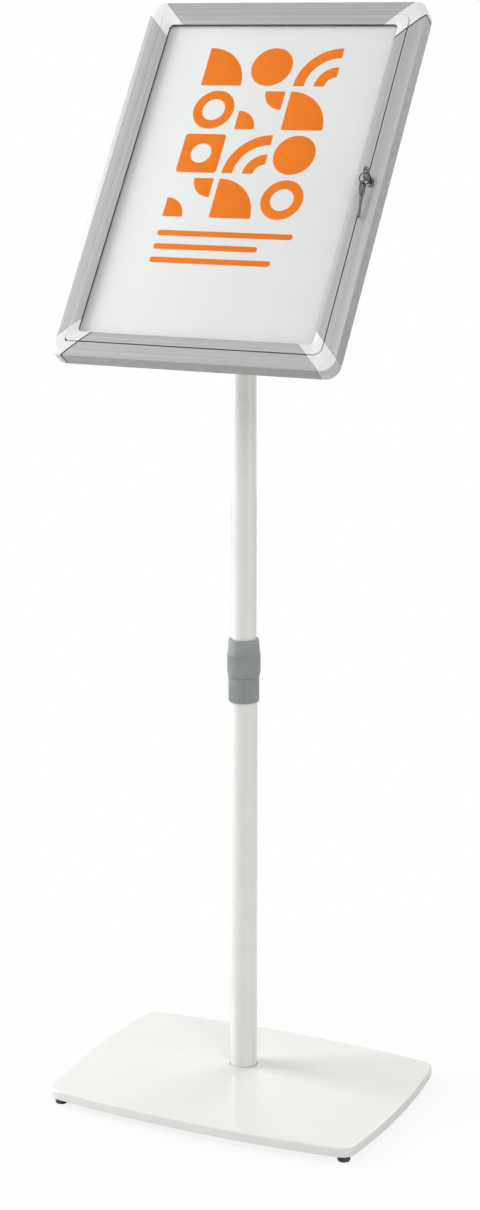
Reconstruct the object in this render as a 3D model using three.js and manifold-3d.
import * as THREE from 'three';
import { mergeVertices } from 'three/addons/utils/BufferGeometryUtils.js';
import Module from 'manifold-3d';

const wasm = await Module();
wasm.setup();

// Free-standing lockable notice board on a telescopic pole.
// Millimetres, +Z up. The board faces -Y and is built round the pole's axis, then the whole
// stand is moved so that the centre of its footprint box on the floor is the origin.

// Shared by all pieces
const seatGap = 0.3;
const cutOverrun = 5;
const weldTolerance = 0.001;
const largeSides = 48;
const smallSides = 16;
const wireSides = 8;
const ringSides = 24;

// Base: bulged rectangle, its corners set by width and depth between the corner points
const baseWidth = 381.9;
const baseDepth = 261.3;
const baseSideBulge = 9.3;
const baseFrontBulge = 12.7;
const baseCorner = 14;
const baseOffsetX = 16.6;
const baseOffsetY = -35.5;
const coverHeight = 11.2;
const coverWall = 1.5;
const coverRound = 2;
const coverRoundSteps = 3;
const poleHolePlay = 2;
const baseCurveSteps = 8;

// Feet
const footHeight = 8.1;
const footRadius = 7.25;
const footInset = 11;
const footStemRadius = 2.6;
const footStemLength = 5;
const footEdge = 0.8;

// Pole
const lowerTubeRadius = 16;
const lowerTubeWall = 1;
const lowerTubeLength = 499;
const tubePlay = 0.4;
const upperTubeWall = 1.5;
const upperTubeLength = 680;

// Bolted foot of the pole
const footPlugLength = 35;
const footPlugSocketDepth = 29;
const baseBoltRadius = 4.9;
const baseBoltHeadRadius = 10;
const baseBoltHeadHeight = 4.6;
const baseBoltLength = 36;

// Clamp collar
const sleeveLength = 29;
const sleeveWall = 1.6;
const sleeveBelowTubeTop = 47;
const neckWall = 0.7;
const neckLength = 13;
const nutLength = 45;
const nutWall = 2.05;
const nutChamferHeight = 6.5;
const nutChamfer = 1.1;
const nutBandHeight = 21.5;
const nutTopRadius = 17.5;
const nutTopWall = 2.4;
const nutTopRound = 1.2;
const colletLength = 17;
const colletWall = 1.7;
const colletTopWall = 1;
const colletSlot = 2.4;
const ribDepth = 0.35;
const sleeveRibs = 26;
const nutRibs = 20;

// Guide plug at the bottom of the upper tube
const guideFlangeHeight = 6;
const guideSpigotLength = 24;
const guideBoreRadius = 6;

// Tilt joint on top of the pole
const pivotHeight = 1011.5;
const pivotAboveTube = 17;
const pivotBehindFrame = 25;
const pivotBelowCentre = 38.9;
const tiltBackDegrees = 35;
const knuckleHalfWidth = 15.4;
const knuckleRadius = 13;
const knuckleFlangeHeight = 3;
const knuckleSpigotLength = 35;
const tiltBoltRadius = 4;
const tiltBoltHeadRadius = 7;
const tiltBoltHeadHeight = 5;
const tiltWasherRadius = 11;
const tiltWasherThickness = 1;
const cheekThickness = 3;
const cheekRadius = 12;
const cheekRootHalf = 30;
const webThickness = 3;
const webWidth = 90;
const webHeight = 80;
const knobRadius = 17;
const knobLobeDepth = 2.2;
const knobLobes = 5;
const knobGripThickness = 14;
const knobBossRadius = 9;
const knobBossLength = 9;
const knobCapThickness = 3;
const knobSteps = 60;
const screwInset = 11;
const screwHeadRadius = 4.2;
const screwHeadHeight = 2.4;
const screwRadius = 2.2;
const screwBite = 2.2;

// Paper, A3 portrait, which sizes the board
const paperWidth = 297;
const paperHeight = 420;
const paperThickness = 0.3;
const paperSideMargin = 5.1;
const paperEndMargin = 3.35;

// Outer frame: section measured inward from the outer edge and back from the front face
const railWidth = 17.2;
const frameDepth = 21.2;
const railWall = 1.5;
const shoulderWidth = 6.9;
const shoulderDrop = 1.2;
const railEdge = 0.8;
const lipBreak = 0.4;
const ledgeWidth = 7;
const ledgeWall = 1.5;
const frameCorner = 16;
const rebateCorner = { left: 2.5, right: 10 };
const smallestCorner = 0.5;
const capReach = 16.3;
const tongueLength = 14;
const cornerSteps = 5;

// Back panel
const panelThickness = 3;

// Door: rounded nose round the hinge axis, flat rail, glazing in a rebate at the back
const doorGroove = 1;
const doorRailWidth = 11.9;
const doorRise = 0.4;
const doorNoseRadius = 3;
const doorBodyWidth = 6;
const doorLipDrop = 1;
const doorOuterCorner = { left: 4.5, right: 9 };
const doorInnerCorner = 5;
const doorLipBreak = 0.5;
const doorChamberHalf = 1.6;
const doorTongueLength = 10;
const noseSteps = 8;
const glazingThickness = 2;

// Hinge pins of the door, measured from the frame's top or bottom edge
const pinRadius = 1;
const pinStart = 8;
const pinEnd = 30;

// Lock in the right-hand rail
const lockFromEdge = 12;
const lockBelowMiddle = 2;
const lockBodyRadius = 4;
const lockBoreWall = 0.9;
const lockDepth = 17.4;
const lockFloor = 1.2;
const lockHeadThickness = 1.6;
const lockHeadChamfer = 0.6;
const lockPlugRecess = 0.2;
const clipThickness = 1;
const clipGrooveDepth = 0.6;
const clipHalfHeight = 7;
const camEngagement = 3;
const camThickness = 1.4;
const camHalfWidth = 1.2;
const camBehindClip = 0.65;
const camPlay = 0.35;

// Keys
const keyThickness = 1.6;
const bladeLength = 17;
const bladeHalf = 2.2;
const bladeTip = 1.6;
const keywayPlay = 0.3;
const neckHalf = 2.8;
const keyNeckLength = 5.5;
const bowHalfWidth = 7.5;
const bowHalfLength = 9;
const bowHoleRadius = 2.5;
const bowHoleFromTop = 4.6;
const keyStandOff = 0.7;
const toothStartShare = 0.14;
const toothEndShare = 0.86;
const toothDepthShares = [0.42, 0.2, 0.5, 0.3];
const ringRadius = 5.8;
const ringWire = 0.6;
const ringTurnDegrees = 25;
const spareSideDegrees = 24;
const spareTipGap = 1;

// Places and sizes that follow from those above
const tilt = THREE.MathUtils.degToRad(tiltBackDegrees);
const coverTop = footHeight + coverHeight;
const ballastBottom = footHeight + seatGap;
const ballastTop = coverTop - coverWall - seatGap;
const lowerTubeBottom = ballastTop + seatGap;
const lowerTubeTop = lowerTubeBottom + lowerTubeLength;
const lowerTubeBore = lowerTubeRadius - lowerTubeWall;
const upperTubeRadius = lowerTubeBore - tubePlay;
const upperTubeBore = upperTubeRadius - upperTubeWall;
const upperTubeTop = pivotHeight - pivotAboveTube;
const upperTubeBottom = upperTubeTop - upperTubeLength;
const frameWidth = paperWidth + 2 * (paperSideMargin + railWidth);
const frameHeight = paperHeight + 2 * (paperEndMargin + railWidth);
const doorOuter = railWidth + doorGroove;
const doorInner = doorOuter + doorRailWidth;
const doorBack = doorRise - 2 * doorNoseRadius;
const hingeInset = doorOuter + doorNoseRadius;
const hingeDepth = doorRise - doorNoseRadius;
const glazingRebate = doorOuter + doorBodyWidth;
const doorLipBack = doorBack + glazingThickness + seatGap;
const paperFront = doorBack - seatGap;
const panelFront = paperFront - paperThickness - seatGap;
const panelBack = panelFront - panelThickness;
const ledgeTop = panelBack - seatGap;
const webFront = panelBack - seatGap;
const webBack = webFront - webThickness;
const pivotDepth = frameDepth + pivotBehindFrame;

function paint(color, roughness, metalness) {
  return new THREE.MeshStandardMaterial({ color, roughness, metalness });
}

const whitePaint = paint(0xe9e9e6, 0.45, 0);
const ballastSteel = paint(0x4b4d50, 0.6, 0.8);
const darkRubber = paint(0x2b2c2d, 0.85, 0);
const greyPlastic = paint(0x8d8f90, 0.5, 0);
const palePlastic = paint(0xe3e4e1, 0.4, 0);
const innerPlastic = paint(0xb9bbbb, 0.5, 0);
const brushedAluminium = paint(0xb4b7b6, 0.35, 0.9);
const zincSteel = paint(0x9a9da0, 0.4, 0.9);
const blackPlastic = paint(0x1f2021, 0.5, 0);
const panelSheet = paint(0xdfe0de, 0.5, 0.2);
const paper = paint(0xf1f1ee, 0.8, 0);
const clearSheet = paint(0xf4f8f8, 0.08, 0);
const chrome = paint(0xb9bbbd, 0.15, 1);
const brassNickel = paint(0xa9a8a0, 0.25, 1);

// Joining and cutting: a closed geometry becomes a solid, and the result a geometry again

function signedVolume(points, faces) {
  const corner = (face, place) => new THREE.Vector3().fromArray(points, 3 * faces[face + place]);
  let volume = 0;
  for (let face = 0; face < faces.length; face += 3) {
    volume += corner(face, 0).dot(corner(face, 1).cross(corner(face, 2)));
  }
  return volume;
}

function solid(geometry) {
  const bare = geometry.clone();
  bare.deleteAttribute('normal');
  bare.deleteAttribute('uv');
  const welded = mergeVertices(bare, weldTolerance);
  const vertProperties = Float32Array.from(welded.getAttribute('position').array);
  const index = welded.index.array;
  const faces = [];
  for (let face = 0; face < index.length; face += 3) {
    const [a, b, c] = [index[face], index[face + 1], index[face + 2]];
    if (a !== b && b !== c && c !== a) {
      faces.push(a, b, c);
    }
  }
  if (signedVolume(vertProperties, faces) < 0) {
    faces.reverse();
  }
  const triVerts = Uint32Array.from(faces);
  return new wasm.Manifold(new wasm.Mesh({ numProp: 3, vertProperties, triVerts }));
}

function geometryOf(body) {
  const mesh = body.getMesh();
  const geometry = new THREE.BufferGeometry();
  geometry.setAttribute('position', new THREE.BufferAttribute(mesh.vertProperties, 3));
  geometry.setIndex(new THREE.BufferAttribute(mesh.triVerts, 1));
  geometry.computeVertexNormals();
  return geometry;
}

function joined(first, ...others) {
  return geometryOf(others.reduce((body, other) => body.add(solid(other)), solid(first)));
}

function cut(first, ...tools) {
  return geometryOf(tools.reduce((body, tool) => body.subtract(solid(tool)), solid(first)));
}

function common(first, second) {
  return geometryOf(solid(first).intersect(solid(second)));
}

// Simple forms

const at = (x, y, z) => new THREE.Vector3(x, y, z);
const moved = (geometry, x, y, z) => geometry.clone().translate(x, y, z);
const alongX = (geometry) => geometry.clone().rotateY(Math.PI / 2);
const alongY = (geometry) => geometry.clone().rotateX(-Math.PI / 2);

// Turned about +Z from [radius, height] points.
function turned(profile, sides = largeSides) {
  const points = profile.map(([radius, height]) => new THREE.Vector2(radius, height));
  return new THREE.LatheGeometry(points, sides).rotateX(Math.PI / 2);
}

function rod(radius, bottom, top, sides = smallSides) {
  return turned([[0, bottom], [radius, bottom], [radius, top], [0, top]], sides);
}

function pipe(inner, outer, bottom, top, sides = largeSides) {
  return turned([[inner, bottom], [outer, bottom], [outer, top], [inner, top], [inner, bottom]], sides);
}

function block(low, high) {
  const size = new THREE.Vector3().subVectors(high, low);
  const middle = new THREE.Vector3().addVectors(low, high).divideScalar(2);
  return new THREE.BoxGeometry(size.x, size.y, size.z).translate(middle.x, middle.y, middle.z);
}

function plate(shape, bottom, top, curveSegments = smallSides) {
  const settings = { depth: top - bottom, bevelEnabled: false, curveSegments };
  return new THREE.ExtrudeGeometry(shape, settings).translate(0, 0, bottom);
}

// A plate standing across X, drawn in (Y, Z).
function sidePlate(shape, left, right) {
  const turn = new THREE.Matrix4().makeBasis(at(0, 1, 0), at(0, 0, 1), at(1, 0, 0));
  return plate(shape, left, right).applyMatrix4(turn);
}

// Turned, with ribs: outside the given radius every second column is drawn in.
function ribbed(profile, ribs, coreRadius) {
  const geometry = turned(profile, 2 * ribs);
  const place = geometry.getAttribute('position');
  for (let i = 0; i < place.count; i += 1) {
    const column = Math.floor(i / profile.length) % (2 * ribs);
    const radius = Math.hypot(place.getX(i), place.getY(i));
    if (radius > coreRadius && column % 2 === 1) {
      const shrink = (radius - ribDepth) / radius;
      place.setXY(i, place.getX(i) * shrink, place.getY(i) * shrink);
    }
  }
  return geometry;
}

// Base

function baseOutline(inset) {
  const w = baseWidth / 2 - inset;
  const d = baseDepth / 2 - inset;
  const widthShare = ((w - baseCorner) / w) ** 2;
  const depthShare = ((d - baseCorner) / d) ** 2;
  const endY = d + baseFrontBulge * (1 - widthShare);
  const midY = endY + 2 * baseFrontBulge * widthShare;
  const endX = w + baseSideBulge * (1 - depthShare);
  const midX = endX + 2 * baseSideBulge * depthShare;
  const outline = new THREE.Shape();
  outline.moveTo(-(w - baseCorner), -endY);
  outline.quadraticCurveTo(0, -midY, w - baseCorner, -endY);
  outline.quadraticCurveTo(w, -d, endX, -(d - baseCorner));
  outline.quadraticCurveTo(midX, 0, endX, d - baseCorner);
  outline.quadraticCurveTo(w, d, w - baseCorner, endY);
  outline.quadraticCurveTo(0, midY, -(w - baseCorner), endY);
  outline.quadraticCurveTo(-w, d, -endX, d - baseCorner);
  outline.quadraticCurveTo(-midX, 0, -endX, -(d - baseCorner));
  outline.quadraticCurveTo(-w, -d, -(w - baseCorner), -endY);
  return outline;
}

function poleInBase(radius, bottom, top) {
  return moved(rod(radius, bottom, top, largeSides), -baseOffsetX, -baseOffsetY, 0);
}

function baseCover() {
  const rounded = new THREE.ExtrudeGeometry(baseOutline(0), {
    depth: coverHeight,
    bevelEnabled: true,
    bevelThickness: coverRound,
    bevelSize: coverRound,
    bevelOffset: -coverRound,
    bevelSegments: coverRoundSteps,
    curveSegments: baseCurveSteps
  });
  const outside = rounded.translate(0, 0, coverTop - coverHeight - coverRound);
  const reach = baseWidth + baseDepth;
  const below = block(at(-reach, -reach, -reach), at(reach, reach, footHeight));
  const ceiling = coverTop - coverWall;
  const inside = plate(baseOutline(coverWall), footHeight - cutOverrun, ceiling, baseCurveSteps);
  const hole = poleInBase(lowerTubeRadius + poleHolePlay, footHeight, coverTop + cutOverrun);
  return cut(outside, below, inside, hole);
}

const footPlaces = [
  ['foot_front_left', -1, -1],
  ['foot_front_right', 1, -1],
  ['foot_rear_left', -1, 1],
  ['foot_rear_right', 1, 1]
].map(([name, sideX, sideY]) => ({
  name,
  x: sideX * (baseWidth / 2 - footInset),
  y: sideY * (baseDepth / 2 - footInset)
}));

function foot() {
  return turned([
    [0, 0],
    [footRadius - footEdge, 0],
    [footRadius, footEdge],
    [footRadius, footHeight],
    [footStemRadius, footHeight],
    [footStemRadius, footHeight + footStemLength],
    [0, footHeight + footStemLength]
  ], smallSides);
}

function boltProfile(extra) {
  return [
    [0, ballastBottom - extra],
    [baseBoltHeadRadius + extra, ballastBottom - extra],
    [baseBoltHeadRadius + extra, ballastBottom + extra],
    [baseBoltRadius + extra, ballastBottom + baseBoltHeadHeight + extra],
    [baseBoltRadius + extra, ballastBottom + baseBoltLength],
    [0, ballastBottom + baseBoltLength]
  ];
}

function ballastPlate() {
  const inset = coverWall + seatGap;
  const slab = plate(baseOutline(inset), ballastBottom, ballastTop, baseCurveSteps);
  const boltHole = moved(turned(boltProfile(seatGap)), -baseOffsetX, -baseOffsetY, 0);
  const stemTop = footHeight + footStemLength + seatGap;
  const stemHoles = footPlaces.map(({ x, y }) => {
    return moved(rod(footStemRadius + seatGap, ballastBottom - cutOverrun, stemTop), x, y, 0);
  });
  return cut(slab, boltHole, ...stemHoles);
}

// Pole

function footPlug() {
  const body = rod(lowerTubeBore - seatGap, lowerTubeBottom, lowerTubeBottom + footPlugLength, largeSides);
  const socketTop = lowerTubeBottom + footPlugSocketDepth;
  return cut(body, rod(baseBoltRadius + seatGap, lowerTubeBottom - cutOverrun, socketTop));
}

function baseBolt() {
  return turned(boltProfile(0));
}

const sleeveBottom = lowerTubeTop - sleeveBelowTubeTop;
const sleeveTop = sleeveBottom + sleeveLength;
const sleeveInner = lowerTubeRadius + seatGap;
const sleeveOuter = sleeveInner + sleeveWall;
const neckOuter = sleeveInner + neckWall;
const nutBottom = sleeveTop + seatGap;
const nutTop = nutBottom + nutLength;
const nutInner = neckOuter + seatGap;
const nutOuter = nutInner + nutWall;
const nutBandBottom = nutBottom + nutChamferHeight;
const nutBandTop = nutBandBottom + nutBandHeight;
const nutMouth = nutTopRadius - nutTopWall;
const colletBottom = lowerTubeTop + seatGap;
const colletInner = upperTubeRadius + seatGap;
const colletOuter = colletInner + colletWall;
const colletTop = colletBottom + colletLength;

function collarSleeve() {
  const profile = [
    [sleeveInner, sleeveBottom],
    [sleeveOuter - ribDepth, sleeveBottom],
    [sleeveOuter, sleeveBottom + ribDepth],
    [sleeveOuter, sleeveTop - ribDepth],
    [sleeveOuter - ribDepth, sleeveTop],
    [neckOuter, sleeveTop],
    [neckOuter, sleeveTop + neckLength],
    [sleeveInner, sleeveTop + neckLength],
    [sleeveInner, sleeveBottom]
  ];
  return ribbed(profile, sleeveRibs, neckOuter + ribDepth);
}

function twistNut() {
  const profile = [
    [nutInner, nutBottom],
    [nutOuter - nutChamfer, nutBottom],
    [nutOuter, nutBandBottom],
    [nutOuter, nutBandTop],
    [nutTopRadius, nutTop - nutTopRound],
    [nutTopRadius - nutTopRound, nutTop],
    [nutMouth, nutTop],
    [nutMouth, colletTop + seatGap],
    [colletInner + colletTopWall + seatGap, colletTop + seatGap],
    [colletOuter + seatGap, colletBottom + colletLength / 2],
    [colletOuter + seatGap, colletBottom],
    [nutInner, colletBottom - seatGap],
    [nutInner, nutBottom]
  ];
  return ribbed(profile, nutRibs, nutOuter - ribDepth);
}

function splitCollet() {
  const ring = turned([
    [colletInner, colletBottom],
    [colletOuter, colletBottom],
    [colletOuter, colletBottom + colletLength / 2],
    [colletInner + colletTopWall, colletTop],
    [colletInner, colletTop],
    [colletInner, colletBottom]
  ]);
  const low = at(0, -colletSlot / 2, colletBottom - cutOverrun);
  const high = at(colletOuter + cutOverrun, colletSlot / 2, colletTop + cutOverrun);
  return cut(ring, block(low, high));
}

function guidePlug() {
  const flangeTop = upperTubeBottom - seatGap;
  const spigotTop = flangeTop + guideSpigotLength;
  return turned([
    [guideBoreRadius, flangeTop - guideFlangeHeight],
    [lowerTubeBore - seatGap, flangeTop - guideFlangeHeight],
    [lowerTubeBore - seatGap, flangeTop],
    [upperTubeBore - seatGap, flangeTop],
    [upperTubeBore - seatGap, spigotTop],
    [guideBoreRadius, spigotTop],
    [guideBoreRadius, flangeTop - guideFlangeHeight]
  ]);
}

// Tilt joint, built round its pivot: X along the bolt, heights from the pivot

function tiltKnuckle() {
  const tubeTop = -pivotAboveTube;
  const flangeBottom = tubeTop + seatGap;
  const flangeTop = flangeBottom + knuckleFlangeHeight;
  const shank = turned([
    [0, tubeTop - knuckleSpigotLength],
    [upperTubeBore - seatGap, tubeTop - knuckleSpigotLength],
    [upperTubeBore - seatGap, flangeBottom],
    [upperTubeRadius, flangeBottom],
    [upperTubeRadius, flangeTop],
    [0, flangeTop]
  ]);
  const side = new THREE.Shape();
  side.moveTo(-knuckleRadius, flangeBottom);
  side.lineTo(knuckleRadius, flangeBottom);
  side.lineTo(knuckleRadius, 0);
  side.absarc(0, 0, knuckleRadius, 0, Math.PI, false);
  side.lineTo(-knuckleRadius, flangeBottom);
  const head = sidePlate(side, -knuckleHalfWidth, knuckleHalfWidth);
  const reach = knuckleHalfWidth + cutOverrun;
  const hole = alongX(rod(tiltBoltRadius + seatGap, -reach, reach));
  return cut(joined(shank, head), hole);
}

const washerInner = knuckleHalfWidth + seatGap;
const washerOuter = washerInner + tiltWasherThickness;
const cheekInner = washerOuter + seatGap;
const cheekOuter = cheekInner + cheekThickness;

function tiltWasher(side) {
  const ring = pipe(tiltBoltRadius + seatGap, tiltWasherRadius, washerInner, washerOuter, smallSides);
  return side > 0 ? alongX(ring) : alongX(ring).rotateY(Math.PI);
}

// Bracket and knob in the board's directions: Y up the board, Z out of its front, pivot at 0.
const webLow = pivotDepth + webBack;
const webHigh = pivotDepth + webFront;
const screwPlaces = [[-1, -1], [1, -1], [-1, 1], [1, 1]].map(([sideX, sideY]) => ({
  x: sideX * (webWidth / 2 - screwInset),
  y: sideY * (webHeight / 2 - screwInset)
}));

function tiltBracket() {
  const cheek = new THREE.Shape();
  cheek.moveTo(-cheekRootHalf, webHigh);
  cheek.lineTo(-cheekRadius, 0);
  cheek.absarc(0, 0, cheekRadius, Math.PI, 2 * Math.PI, false);
  cheek.lineTo(cheekRootHalf, webHigh);
  cheek.lineTo(-cheekRootHalf, webHigh);
  const low = at(-webWidth / 2, -webHeight / 2, webLow);
  const high = at(webWidth / 2, webHeight / 2, webHigh);
  const web = block(low, high);
  const left = sidePlate(cheek, -cheekOuter, -cheekInner);
  const right = sidePlate(cheek, cheekInner, cheekOuter);
  const reach = cheekOuter + cutOverrun;
  const boltHole = alongX(rod(tiltBoltRadius + seatGap, -reach, reach));
  const screwHoles = screwPlaces.map(({ x, y }) => {
    return moved(rod(screwRadius + seatGap, webLow - cutOverrun, webHigh + cutOverrun), x, y, 0);
  });
  return cut(joined(web, left, right), boltHole, ...screwHoles);
}

function bracketScrew() {
  const headTop = webLow - seatGap;
  return turned([
    [0, headTop - screwHeadHeight],
    [screwHeadRadius / 2, headTop - screwHeadHeight],
    [screwHeadRadius, headTop - screwHeadHeight / 2],
    [screwHeadRadius, headTop],
    [screwRadius, headTop],
    [screwRadius, pivotDepth + panelBack + screwBite],
    [0, pivotDepth + panelBack + screwBite]
  ], smallSides);
}

const knobStart = cheekOuter + seatGap;
const knobGripStart = knobStart + knobBossLength;
const knobEnd = knobGripStart + knobGripThickness;
const boltEnd = knobEnd - knobCapThickness - seatGap;

function tiltBolt() {
  const headStart = -cheekOuter - seatGap;
  return alongX(turned([
    [0, headStart - tiltBoltHeadHeight],
    [tiltBoltHeadRadius, headStart - tiltBoltHeadHeight],
    [tiltBoltHeadRadius, headStart],
    [tiltBoltRadius, headStart],
    [tiltBoltRadius, boltEnd],
    [0, boltEnd]
  ], smallSides));
}

function tiltKnob() {
  const grip = new THREE.Shape();
  for (let step = 0; step <= knobSteps; step += 1) {
    const angle = 2 * Math.PI * step / knobSteps;
    const radius = knobRadius - knobLobeDepth * (1 - Math.cos(knobLobes * angle)) / 2;
    const point = at(radius * Math.cos(angle), radius * Math.sin(angle), 0);
    if (step === 0) {
      grip.moveTo(point.x, point.y);
    } else {
      grip.lineTo(point.x, point.y);
    }
  }
  const star = plate(grip, knobGripStart, knobEnd);
  const boss = rod(knobBossRadius, knobStart, knobGripStart + knobCapThickness);
  const socket = rod(tiltBoltRadius + seatGap, knobStart - cutOverrun, boltEnd + seatGap);
  return alongX(cut(joined(star, boss), socket));
}

// Board, in its own directions: X right, Y up the board, Z out of its front, front face at 0

function roundedOutline(width, height, corner) {
  const points = [];
  const quarters = [[1, -1], [1, 1], [-1, 1], [-1, -1]];
  for (const [sideX, sideY] of quarters) {
    const radius = sideX < 0 ? corner.left : corner.right;
    const centreX = sideX * (width / 2 - radius);
    const centreY = sideY * (height / 2 - radius);
    const middle = Math.atan2(sideY, sideX);
    for (let step = 0; step <= cornerSteps; step += 1) {
      const angle = middle + Math.PI / 2 * (step / cornerSteps - 1 / 2);
      points.push([centreX + radius * Math.cos(angle), centreY + radius * Math.sin(angle)]);
    }
  }
  return points;
}

// A closed frame: each section point [inset, depth] becomes one rounded outline.
function loftedFrame(section, cornerAt) {
  const positions = [];
  for (const [inset, depth] of section) {
    const outline = roundedOutline(frameWidth - 2 * inset, frameHeight - 2 * inset, cornerAt(inset));
    outline.forEach(([x, y]) => positions.push(x, y, depth));
  }
  const around = 4 * (cornerSteps + 1);
  const faces = [];
  for (let row = 0; row < section.length; row += 1) {
    const next = (row + 1) % section.length;
    for (let column = 0; column < around; column += 1) {
      const beside = (column + 1) % around;
      const [a, b] = [row * around + column, row * around + beside];
      const [c, d] = [next * around + beside, next * around + column];
      faces.push(a, b, c, a, c, d);
    }
  }
  const geometry = new THREE.BufferGeometry();
  geometry.setAttribute('position', new THREE.Float32BufferAttribute(positions, 3));
  geometry.setIndex(faces);
  return geometry;
}

// The corners grow or shrink evenly across a rail. On the hinge side they are tight, so that the
// nose of the door can turn in them.
function frameCornerAt(inset) {
  const share = inset / railWidth;
  const radius = (inner) => Math.max(frameCorner + (inner - frameCorner) * share, smallestCorner);
  return { left: radius(rebateCorner.left), right: radius(rebateCorner.right) };
}

function doorCornerAt(inset) {
  const share = (inset - doorOuter) / doorRailWidth;
  const radius = (outer) => outer + (doorInnerCorner - outer) * share;
  return { left: radius(doorOuterCorner.left), right: radius(doorOuterCorner.right) };
}

const frameSection = [
  [0, -frameDepth],
  [0, -shoulderDrop - railEdge],
  [railEdge, -shoulderDrop],
  [shoulderWidth, 0],
  [railWidth - lipBreak, 0],
  [railWidth, -lipBreak],
  [railWidth, ledgeTop],
  [railWidth + ledgeWidth, ledgeTop],
  [railWidth + ledgeWidth, ledgeTop - ledgeWall],
  [railWidth, ledgeTop - ledgeWall],
  [railWidth, -frameDepth]
];

// The hollow of the rails, and with a gap the tongues that fill it.
function chamberSection(gap) {
  const low = railWall + gap;
  return [
    [low, -frameDepth + low],
    [low, -shoulderDrop - railEdge - low],
    [shoulderWidth, -low],
    [railWidth - low, -low],
    [railWidth - low, -frameDepth + low]
  ];
}

function doorSection() {
  const nose = [];
  for (let step = 0; step <= noseSteps; step += 1) {
    const angle = Math.PI / 2 + Math.PI * step / noseSteps;
    const inset = hingeInset + doorNoseRadius * Math.cos(angle);
    nose.push([inset, hingeDepth + doorNoseRadius * Math.sin(angle)]);
  }
  const lipFront = doorRise - doorLipDrop;
  return [
    ...nose,
    [glazingRebate, doorBack],
    [glazingRebate, doorLipBack],
    [doorInner, doorLipBack],
    [doorInner, lipFront - doorLipBreak],
    [doorInner - doorLipBreak, lipFront]
  ];
}

function doorChamberSection(gap) {
  const half = doorChamberHalf - gap;
  return [
    [hingeInset - half, hingeDepth - half],
    [hingeInset - half, hingeDepth + half],
    [hingeInset + half, hingeDepth + half],
    [hingeInset + half, hingeDepth - half]
  ];
}

const prismBack = -frameDepth - cutOverrun;
const prismFront = doorRise + cutOverrun;
const prismInside = doorInner + cutOverrun;

// All that lies on one side of the frame, between the 45 degree lines where its rail ends.
function sidePrism(length, distance, reach, turn) {
  const halfAt = (inset) => length / 2 - inset - reach;
  const shape = new THREE.Shape();
  shape.moveTo(-halfAt(-cutOverrun), -distance - cutOverrun);
  shape.lineTo(halfAt(-cutOverrun), -distance - cutOverrun);
  shape.lineTo(halfAt(prismInside), -distance + prismInside);
  shape.lineTo(-halfAt(prismInside), -distance + prismInside);
  return plate(shape, prismBack, prismFront).rotateZ(turn);
}

// The band along a corner's diagonal, reach wide to each side when measured along the frame's edge.
function cornerPrism(sideX, sideY, reach) {
  const length = (2 * doorInner + reach) / Math.SQRT2 + 2 * cutOverrun;
  const halfWidth = reach / Math.SQRT2;
  const band = block(at(-cutOverrun, -halfWidth, prismBack), at(length, halfWidth, prismFront));
  band.rotateZ(Math.atan2(-sideY, -sideX));
  return moved(band, sideX * frameWidth / 2, sideY * frameHeight / 2, 0);
}

const sides = [
  { name: 'bottom', length: frameWidth, distance: frameHeight / 2, turn: 0 },
  { name: 'right', length: frameHeight, distance: frameWidth / 2, turn: Math.PI / 2 },
  { name: 'top', length: frameWidth, distance: frameHeight / 2, turn: Math.PI },
  { name: 'left', length: frameHeight, distance: frameWidth / 2, turn: -Math.PI / 2 }
];

const corners = [
  { name: 'bottom_left', sideX: -1, sideY: -1 },
  { name: 'bottom_right', sideX: 1, sideY: -1 },
  { name: 'top_right', sideX: 1, sideY: 1 },
  { name: 'top_left', sideX: -1, sideY: 1 }
];

function railsOf(whole, chamber) {
  const hollow = cut(whole, chamber);
  const reach = capReach + seatGap * Math.SQRT2;
  return Object.fromEntries(sides.map(({ name, length, distance, turn }) => {
    return [name, common(hollow, sidePrism(length, distance, reach, turn))];
  }));
}

function cornersOf(whole, tongue, length) {
  return Object.fromEntries(corners.map(({ name, sideX, sideY }) => {
    const cap = common(whole, cornerPrism(sideX, sideY, capReach));
    return [name, joined(cap, common(tongue, cornerPrism(sideX, sideY, capReach + length)))];
  }));
}

// A rod on the door's hinge axis, between two distances from the top or bottom edge of the frame.
function onHinge(radius, sideY, start, end) {
  const places = [sideY * (frameHeight / 2 - start), sideY * (frameHeight / 2 - end)];
  const pin = alongY(rod(radius, Math.min(...places), Math.max(...places)));
  return moved(pin, -frameWidth / 2 + hingeInset, 0, hingeDepth);
}

const lockX = frameWidth / 2 - lockFromEdge;
const lockY = -lockBelowMiddle;
const clipFront = -railWall - seatGap;
const clipBack = clipFront - clipThickness;
const camFront = clipBack - camBehindClip;
const camBack = camFront - camThickness;
const camReach = doorOuter + camEngagement - lockFromEdge;
const windowFront = camFront + camPlay;
const windowBack = camBack - camPlay;
const lockBore = lockBodyRadius - lockBoreWall;
const plugRadius = lockBore - seatGap;
const lockFace = seatGap + lockHeadThickness;
const plugFace = lockFace - lockPlugRecess;

function outerFrame() {
  const whole = loftedFrame(frameSection, frameCornerAt);
  const rails = railsOf(whole, loftedFrame(chamberSection(0), frameCornerAt));
  const caps = cornersOf(whole, loftedFrame(chamberSection(seatGap), frameCornerAt), tongueLength);
  const hole = pinRadius + seatGap;
  for (const [name, sideY] of [['top_left', 1], ['bottom_left', -1]]) {
    caps[name] = cut(caps[name], onHinge(hole, sideY, pinStart - seatGap, railWidth + cutOverrun));
  }
  const bore = rod(lockBodyRadius + seatGap, -lockDepth - seatGap, cutOverrun);
  const low = at(-(railWidth - lockFromEdge) - cutOverrun, -camReach - camPlay, windowBack);
  const high = at(-(railWidth - lockFromEdge - railWall), camHalfWidth + camPlay, windowFront);
  const camWindow = block(low, high);
  rails.right = cut(rails.right, moved(bore, lockX, lockY, 0), moved(camWindow, lockX, lockY, 0));
  return { rails, caps };
}

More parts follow.
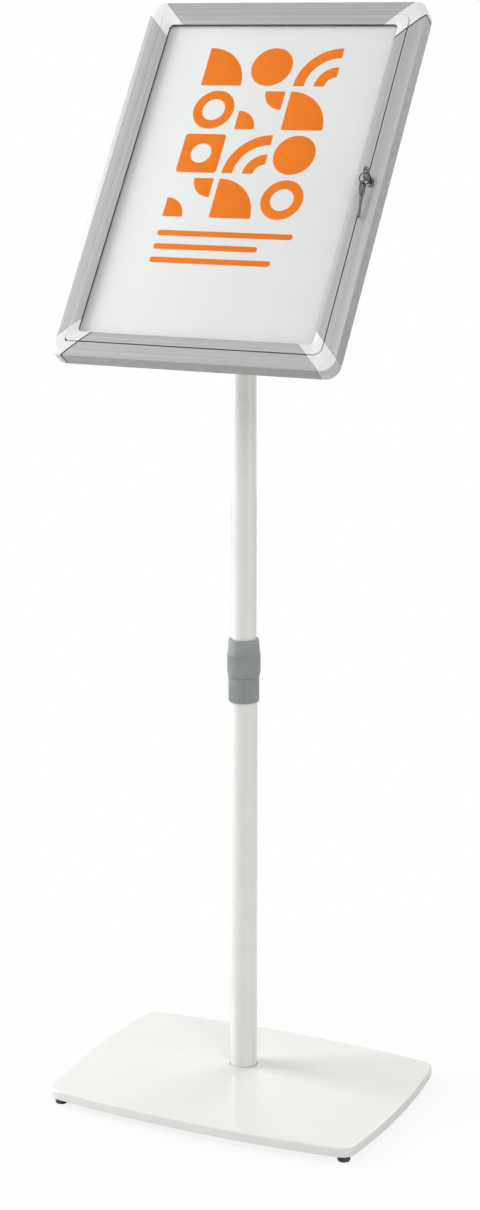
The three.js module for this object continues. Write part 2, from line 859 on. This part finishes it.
function doorFrame() {
  const whole = loftedFrame(doorSection(), doorCornerAt);
  const rails = railsOf(whole, loftedFrame(doorChamberSection(0), doorCornerAt));
  const tongue = loftedFrame(doorChamberSection(seatGap), doorCornerAt);
  const caps = cornersOf(whole, tongue, doorTongueLength);
  const hole = pinRadius + seatGap;
  for (const [name, sideY] of [['top_left', 1], ['bottom_left', -1]]) {
    caps[name] = cut(caps[name], onHinge(hole, sideY, doorOuter - cutOverrun, pinEnd + seatGap));
  }
  const low = at(-camReach - camPlay, -camReach - camPlay, doorBack - cutOverrun);
  const high = at(-(railWidth - lockFromEdge), camHalfWidth + camPlay, windowFront);
  rails.right = cut(rails.right, moved(block(low, high), lockX, lockY, 0));
  return { rails, caps };
}

function roundedSheet(inset, corner, bottom, top) {
  const outline = roundedOutline(frameWidth - 2 * inset, frameHeight - 2 * inset, corner);
  const shape = new THREE.Shape(outline.map(([x, y]) => new THREE.Vector2(x, y)));
  return plate(shape, bottom, top);
}

function backPanel() {
  const sheet = roundedSheet(railWidth + seatGap, rebateCorner, panelBack, panelFront);
  const holes = screwPlaces.map(({ x, y }) => {
    const hole = rod(screwRadius + seatGap, panelBack - cutOverrun, panelBack + screwBite + seatGap);
    return moved(hole, x, y - pivotBelowCentre, 0);
  });
  return cut(sheet, ...holes);
}

function posterSheet() {
  const low = at(-paperWidth / 2, -paperHeight / 2, paperFront - paperThickness);
  return block(low, at(paperWidth / 2, paperHeight / 2, paperFront));
}

function doorGlazing() {
  const inset = glazingRebate + seatGap;
  return roundedSheet(inset, doorCornerAt(inset), doorBack, doorBack + glazingThickness);
}

// Lock, round its own axis

function lockBarrel() {
  const headRadius = doorOuter - seatGap - lockFromEdge;
  const groove = lockBodyRadius - clipGrooveDepth;
  const shell = turned([
    [0, -lockDepth],
    [lockBodyRadius, -lockDepth],
    [lockBodyRadius, clipBack - seatGap / 2],
    [groove, clipBack - seatGap / 2],
    [groove, clipFront + seatGap / 2],
    [lockBodyRadius, clipFront + seatGap / 2],
    [lockBodyRadius, seatGap],
    [headRadius, seatGap],
    [headRadius, lockFace - lockHeadChamfer],
    [headRadius - lockHeadChamfer, lockFace],
    [lockBore, lockFace],
    [lockBore, -lockDepth + lockFloor],
    [0, -lockDepth + lockFloor]
  ], smallSides);
  const low = at(-lockBodyRadius - cutOverrun, -lockBodyRadius - cutOverrun, windowBack);
  const high = at(camHalfWidth + camPlay, camHalfWidth + camPlay, windowFront);
  return cut(shell, block(low, high));
}

function lockClip() {
  const slot = lockBodyRadius - clipGrooveDepth + seatGap;
  const left = -(railWidth - railWall - lockFromEdge) + seatGap;
  const right = lockFromEdge - shoulderWidth;
  const body = block(at(left, -clipHalfHeight, clipBack), at(right, clipHalfHeight, clipFront));
  const round = rod(slot, clipBack - cutOverrun, clipFront + cutOverrun);
  const low = at(left - cutOverrun, -slot, clipBack - cutOverrun);
  return cut(body, round, block(low, at(0, slot, clipFront + cutOverrun)));
}

const plugBottom = -lockDepth + lockFloor + seatGap;
const keyShoulder = lockFace + keyStandOff;
const keyTip = keyShoulder - bladeLength;

function lockPlug() {
  const core = rod(plugRadius, plugBottom, plugFace);
  const cam = block(at(-camHalfWidth, -camReach, camBack), at(camHalfWidth, 0, camFront));
  const slotX = keyThickness / 2 + keywayPlay;
  const slotY = bladeHalf + keywayPlay;
  const low = at(-slotX, -slotY, keyTip - seatGap);
  return cut(joined(core, cam), block(low, at(slotX, slotY, plugFace + cutOverrun)));
}

// Key drawn with its shoulder at 0, blade downwards; the plate stands across X.
const bowCentre = keyNeckLength + bowHalfLength;
const bowHole = bowCentre + bowHalfLength - bowHoleFromTop;

function keyPlate() {
  const outline = new THREE.Shape();
  outline.moveTo(-bladeHalf, 0);
  outline.lineTo(-bladeHalf, -bladeLength + bladeTip);
  outline.lineTo(0, -bladeLength);
  outline.lineTo(bladeHalf, -bladeLength + bladeTip);
  const toothPitch = (toothEndShare - toothStartShare) * bladeLength / toothDepthShares.length;
  toothDepthShares.forEach((depthShare, tooth) => {
    const valley = -toothEndShare * bladeLength + (tooth + 1 / 2) * toothPitch;
    outline.lineTo(bladeHalf * (1 - depthShare), valley);
    outline.lineTo(bladeHalf, valley + toothPitch / 2);
  });
  outline.lineTo(bladeHalf, 0);
  outline.lineTo(neckHalf, 0);
  const bowStart = -Math.acos(neckHalf / bowHalfWidth);
  outline.absellipse(0, bowCentre, bowHalfWidth, bowHalfLength, bowStart, Math.PI - bowStart, false);
  outline.lineTo(-neckHalf, 0);
  const hole = new THREE.Path();
  hole.absarc(0, bowHole, bowHoleRadius, 0, 2 * Math.PI, true);
  outline.holes.push(hole);
  return sidePlate(outline, -keyThickness / 2, keyThickness / 2);
}

// Assembly

const stand = new THREE.Group();

function place(parent, name, geometry, material, x = 0, y = 0, z = 0) {
  const mesh = new THREE.Mesh(geometryOf(solid(geometry)), material);
  mesh.name = name;
  mesh.position.set(x, y, z);
  parent.add(mesh);
  return mesh;
}

function groupAt(parent, x, y, z) {
  const group = new THREE.Group();
  group.position.set(x, y, z);
  parent.add(group);
  return group;
}

function addBase() {
  const base = groupAt(stand, baseOffsetX, baseOffsetY, 0);
  place(base, 'base_cover', baseCover(), whitePaint);
  place(base, 'ballast_plate', ballastPlate(), ballastSteel);
  for (const { name, x, y } of footPlaces) {
    place(base, name, foot(), darkRubber, x, y, 0);
  }
}

function addPole() {
  const lowerTube = pipe(lowerTubeBore, lowerTubeRadius, lowerTubeBottom, lowerTubeTop);
  const upperTube = pipe(upperTubeBore, upperTubeRadius, upperTubeBottom, upperTubeTop);
  place(stand, 'pole_foot_plug', footPlug(), zincSteel);
  place(stand, 'base_bolt', baseBolt(), zincSteel);
  place(stand, 'lower_tube', lowerTube, whitePaint);
  place(stand, 'collar_sleeve', collarSleeve(), greyPlastic);
  place(stand, 'collet', splitCollet(), innerPlastic);
  place(stand, 'twist_nut', twistNut(), greyPlastic);
  place(stand, 'guide_plug', guidePlug(), innerPlastic);
  place(stand, 'upper_tube', upperTube, whitePaint);
  place(stand, 'tilt_knuckle', tiltKnuckle(), greyPlastic, 0, 0, pivotHeight);
}

function addTiltHead(head) {
  place(head, 'tilt_bracket', tiltBracket(), zincSteel);
  screwPlaces.forEach(({ x, y }, screw) => {
    place(head, `bracket_screw_${screw + 1}`, bracketScrew(), zincSteel, x, y, 0);
  });
  place(head, 'tilt_washer_left', tiltWasher(-1), innerPlastic);
  place(head, 'tilt_washer_right', tiltWasher(1), innerPlastic);
  place(head, 'tilt_bolt', tiltBolt(), zincSteel);
  place(head, 'tilt_knob', tiltKnob(), blackPlastic);
}

function addFrame(board) {
  const { rails, caps } = outerFrame();
  for (const [name, rail] of Object.entries(rails)) {
    place(board, `frame_rail_${name}`, rail, brushedAluminium);
  }
  for (const [name, cap] of Object.entries(caps)) {
    place(board, `frame_corner_${name}`, cap, palePlastic);
  }
  place(board, 'back_panel', backPanel(), panelSheet);
  place(board, 'poster', posterSheet(), paper);
  place(board, 'hinge_pin_top', onHinge(pinRadius, 1, pinStart, pinEnd), zincSteel);
  place(board, 'hinge_pin_bottom', onHinge(pinRadius, -1, pinStart, pinEnd), zincSteel);
}

function addDoor(board) {
  const { rails, caps } = doorFrame();
  for (const [name, rail] of Object.entries(rails)) {
    place(board, `door_rail_${name}`, rail, brushedAluminium);
  }
  for (const [name, cap] of Object.entries(caps)) {
    place(board, `door_corner_${name}`, cap, palePlastic);
  }
  place(board, 'door_glazing', doorGlazing(), clearSheet);
}

function addLock(board) {
  const lock = groupAt(board, lockX, lockY, 0);
  place(lock, 'lock_barrel', lockBarrel(), chrome);
  place(lock, 'lock_clip', lockClip(), zincSteel);
  place(lock, 'lock_plug', lockPlug(), chrome);
  place(lock, 'key', keyPlate(), brassNickel, 0, 0, keyShoulder);
}

// The ring hangs plumb from the key's bow, and the spare key from the ring, with its tip just
// clear of the frame below the lock.
function addHangingKeys(board) {
  stand.updateMatrixWorld(true);
  const slack = bowHoleRadius - ringWire - seatGap;
  const ringTop = board.localToWorld(at(lockX, lockY, keyShoulder + bowHole));
  ringTop.z -= slack;
  const ringTurn = THREE.MathUtils.degToRad(ringTurnDegrees);
  const spareSide = THREE.MathUtils.degToRad(spareSideDegrees);
  const torus = new THREE.TorusGeometry(ringRadius, ringWire, wireSides, ringSides);
  const ring = torus.rotateX(Math.PI / 2).rotateZ(ringTurn).translate(0, 0, -ringRadius);
  place(stand, 'key_ring', ring, chrome, ringTop.x, ringTop.y, ringTop.z);
  const aside = -ringRadius * Math.sin(spareSide);
  const drop = -ringRadius - ringRadius * Math.cos(spareSide);
  const hook = at(aside * Math.cos(ringTurn), aside * Math.sin(ringTurn), drop).add(ringTop);
  const hookHeight = board.worldToLocal(hook.clone()).z;
  const wireInHole = ringWire / Math.cos(spareSide) + keyThickness / 2 * Math.tan(spareSide);
  const spareSlack = bowHoleRadius - wireInHole - seatGap;
  const keyLength = spareSlack + bowHole + bladeLength;
  const tipHeight = spareTipGap + bladeHalf;
  const hang = Math.asin((hookHeight - tipHeight) / keyLength);
  const spare = groupAt(stand, hook.x, hook.y, hook.z);
  spare.rotation.x = hang - tilt;
  place(spare, 'spare_key', keyPlate(), brassNickel, 0, 0, -spareSlack - bowHole);
}

addBase();
addPole();
const head = groupAt(stand, 0, 0, pivotHeight);
head.rotation.x = Math.PI / 2 - tilt;
addTiltHead(head);
const board = groupAt(head, 0, pivotBelowCentre, pivotDepth);
addFrame(board);
addDoor(board);
addLock(board);
addHangingKeys(board);

stand.updateMatrixWorld(true);
const box = new THREE.Box3().setFromObject(stand, true);
stand.position.set(-(box.min.x + box.max.x) / 2, -(box.min.y + box.max.y) / 2, -box.min.z);

export default stand;
